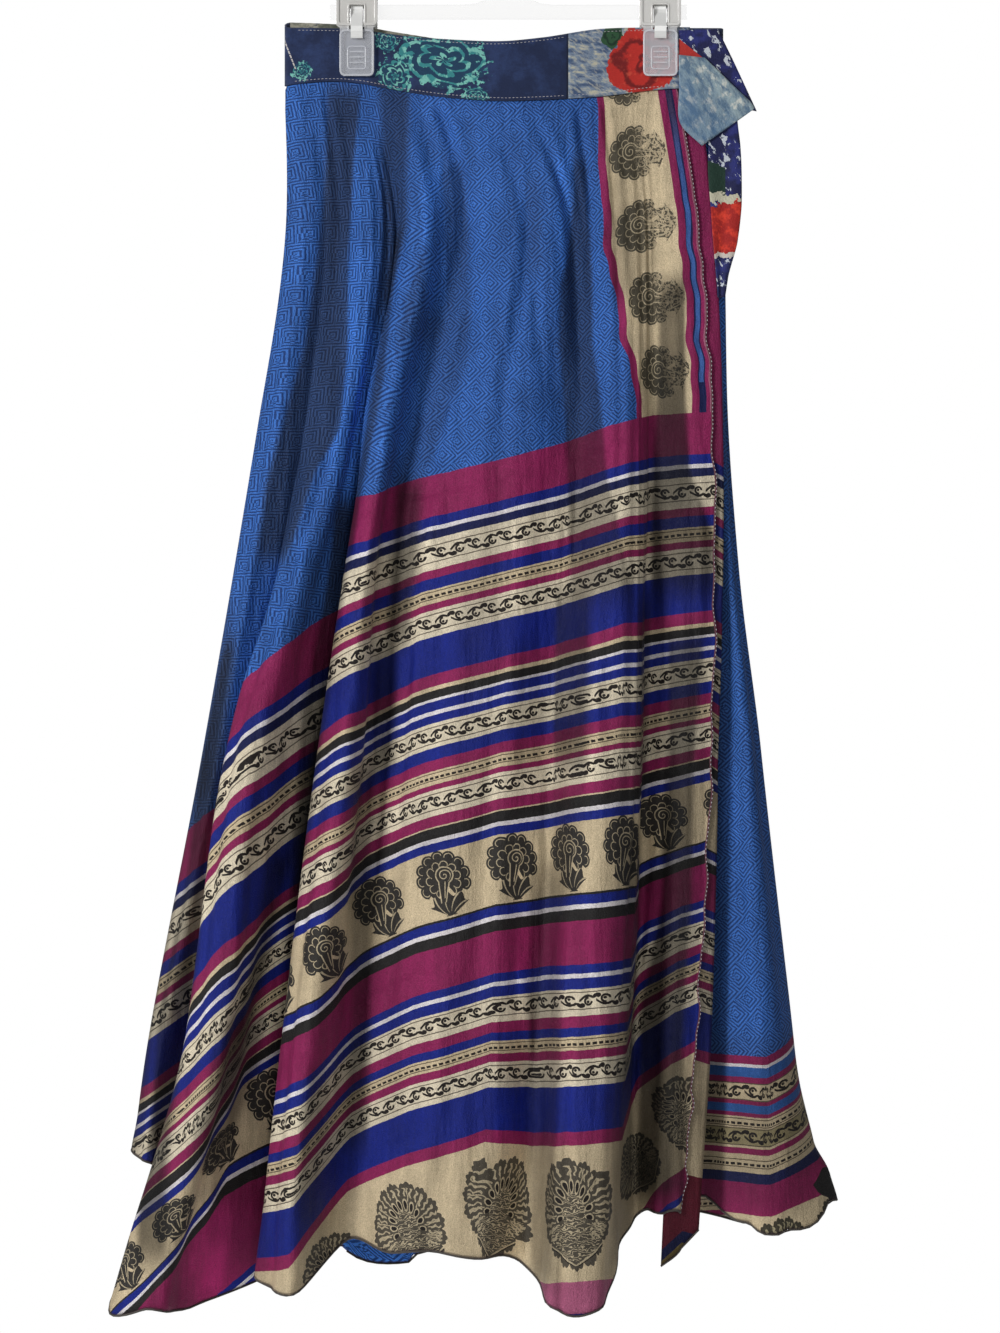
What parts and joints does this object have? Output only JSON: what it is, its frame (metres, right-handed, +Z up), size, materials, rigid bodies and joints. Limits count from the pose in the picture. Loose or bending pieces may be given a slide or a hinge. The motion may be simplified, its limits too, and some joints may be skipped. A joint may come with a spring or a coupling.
{
  "type": "wrap skirt on a clip hanger",
  "caption": "Long flared wrap skirt of printed silk with a tied waistband, hung flat from a clear clip hanger with a wire hook.",
  "frame": {"origin": "inner top of the hanger's hook, where a rail touches it", "axes": "+X to the viewer's right as the skirt hangs, +Y from the outer flap towards the skirt's back, +Z up"},
  "size_m": [0.5221, 0.2057, 1.048],
  "materials": {
    "blue_border_silk": "thin printed silk with a soft sheen, blue meander ground above bands of magenta, royal blue, cream and black stripes",
    "waistband_print": "matt printed cloth, navy with loose teal and red flowers and pale blue-grey patches",
    "waistband_inner_print": "matt printed cloth, grey-olive and cream",
    "tie_print": "matt printed cloth, navy with white strokes and red flowers",
    "tie_pale_print": "matt printed cloth, pale blue-grey with cream strokes",
    "clear_plastic": "clear moulded plastic, glossy",
    "hook_wire": "bright plated steel wire",
    "spring_strip": "white coated steel strip"
  },
  "bodies": {
    "root": {"front_panel": "blue_border_silk", "side_panel": "blue_border_silk", "back_panel": "blue_border_silk", "under_panel": "blue_border_silk", "flap_facing": "blue_border_silk", "waistband_left": "waistband_print", "waistband_right": "waistband_print", "waistband_under": "waistband_print", "waistband_back": "waistband_inner_print", "tie_leaf_back": "tie_print", "tie_tail": "tie_print", "tie_leaf_front": "tie_pale_print", "hanger_bar": "clear_plastic", "hanger_hook": "hook_wire", "clip_left_front": "clear_plastic", "clip_left_back": "clear_plastic", "clip_right_front": "clear_plastic", "clip_right_back": "clear_plastic", "clip_left_spring": "spring_strip", "clip_right_spring": "spring_strip"}
  },
  "joints": []
}
